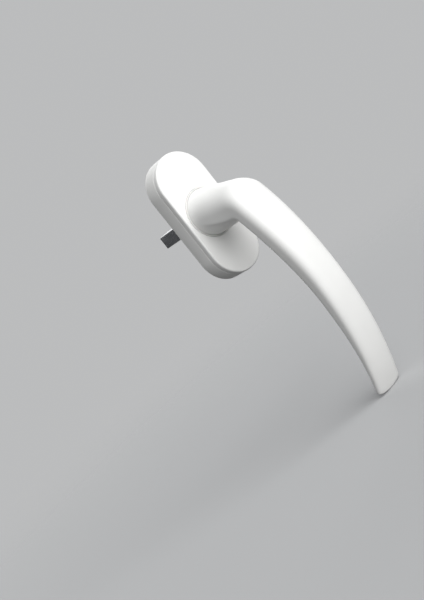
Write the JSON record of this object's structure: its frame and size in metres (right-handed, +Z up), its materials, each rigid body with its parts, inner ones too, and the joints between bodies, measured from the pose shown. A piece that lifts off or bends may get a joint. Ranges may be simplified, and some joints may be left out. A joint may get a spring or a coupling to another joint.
{
  "type": "window handle",
  "caption": "White bowed window handle on a layered stadium-shaped rosette, with a square spindle out of the back and a sprung ball detent inside.",
  "frame": {"origin": "centre of the square spindle's free end, on the axis the lever turns about; the rosette's wall side lies 32 mm from it towards -Y", "axes": "+Z is up along the rosette as it stands on a closed window, -Y points into the room out of the rosette, +X is to the right seen from the room; the lever hangs down (-Z) at rest"},
  "size_m": [0.0316, 0.0874, 0.1556],
  "materials": {
    "white_coat": "white powder coat, satin, very fine orange peel",
    "white_coat_base": "white powder coat on the die-cast base, satin",
    "white_plastic": "white moulded bearing plastic",
    "zinc_plated_steel": "drawn steel, bright zinc plated",
    "spring_steel": "hardened steel, lightly oiled",
    "nylon": "natural moulded nylon"
  },
  "bodies": {
    "base_assembly": {"rosette_base": "white_coat_base", "neck_bush": "white_plastic", "thrust_washer": "nylon", "detent_housing": "nylon", "detent_spring_upper": "spring_steel", "detent_spring_lower": "spring_steel", "back_plate": "zinc_plated_steel", "plate_screw_1": "zinc_plated_steel", "plate_screw_2": "zinc_plated_steel", "plate_screw_3": "zinc_plated_steel", "plate_screw_4": "zinc_plated_steel"},
    "lever_assembly": {"lever": "white_coat", "square_spindle": "zinc_plated_steel", "spindle_pin": "spring_steel", "detent_rotor": "zinc_plated_steel", "wave_washer": "spring_steel", "retaining_ring": "spring_steel"},
    "cover": {"rosette_cover": "white_coat"},
    "detent_ball_upper": {"detent_ball_upper": "spring_steel"},
    "detent_ball_lower": {"detent_ball_lower": "spring_steel"}
  },
  "joints": [
    {"name": "lever_turn", "type": "hinge", "parent": "base_assembly", "child": "lever_assembly", "pos_m": [0, -0.032, 0], "axis": [0, 1, 0], "range_deg": [-180, 180]},
    {"name": "cover_turn", "type": "hinge", "parent": "base_assembly", "child": "cover", "pos_m": [0, -0.032, 0], "axis": [0, 1, 0], "range_deg": [-90, 90]},
    {"name": "detent_ball_upper_slide", "type": "slide", "parent": "base_assembly", "child": "detent_ball_upper", "axis": [0, 0, -1], "range_m": [0, 0.0005], "deforming": ["detent_spring_upper"]},
    {"name": "detent_ball_lower_slide", "type": "slide", "parent": "base_assembly", "child": "detent_ball_lower", "axis": [0, 0, 1], "range_m": [0, 0.0005], "deforming": ["detent_spring_lower"]}
  ]
}
